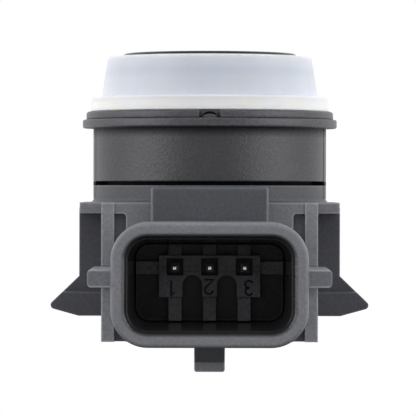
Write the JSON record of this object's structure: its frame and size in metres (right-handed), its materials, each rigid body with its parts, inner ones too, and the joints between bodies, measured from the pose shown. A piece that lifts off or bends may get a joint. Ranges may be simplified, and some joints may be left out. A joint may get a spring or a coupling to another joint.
{
  "type": "parking sensor",
  "caption": "Ultrasonic parking sensor: round sensing head in a soft ring, flanged sleeve, and a moulded housing with side catches and a plug socket.",
  "frame": {"origin": "on the sensing axis, in the mounting flange; z = 0 is the plane of the flange's underside", "axes": "+Z is the sensing direction, -Y is the way the plug leaves the socket, +X is to the right seen from the plug"},
  "size_m": [0.028, 0.0331, 0.0273],
  "materials": {
    "soft_ring": "translucent moulded silicone, satin",
    "membrane": "black lacquer on aluminium, satin",
    "housing_plastic": "fine spark-eroded texture, dark grey",
    "carrier_plastic": "moulded, smooth, near black",
    "tinned_pin": "tin plated, satin",
    "seal_rubber": "matt black",
    "piezo_ceramic": "silvered ceramic, matt",
    "foam": "open cells, matt",
    "copper": "enamelled wire",
    "board": "solder resist, satin",
    "chip_body": "moulded, matt",
    "ferrite": "sintered, matt",
    "chip_ceramic": "fired, matt",
    "potting_resin": "cast resin, smooth"
  },
  "bodies": {
    "root": {"decoupling_ring": "soft_ring", "membrane_pot": "membrane", "piezo_disc": "piezo_ceramic", "damping_foam": "foam", "piezo_leads": "copper", "contact_carrier": "carrier_plastic", "transducer_pins": "tinned_pin", "retaining_collar": "housing_plastic", "front_sleeve": "housing_plastic", "joint_seal": "seal_rubber", "main_housing": "housing_plastic", "terminal_carrier": "carrier_plastic", "terminal_pin_1": "tinned_pin", "terminal_pin_2": "tinned_pin", "terminal_pin_3": "tinned_pin", "circuit_board": "board", "signal_chip": "chip_body", "transformer_core": "ferrite", "transformer_winding": "copper", "chip_capacitors": "chip_ceramic", "chip_resistors": "chip_body", "potting": "potting_resin", "rear_cover": "housing_plastic"}
  },
  "joints": []
}
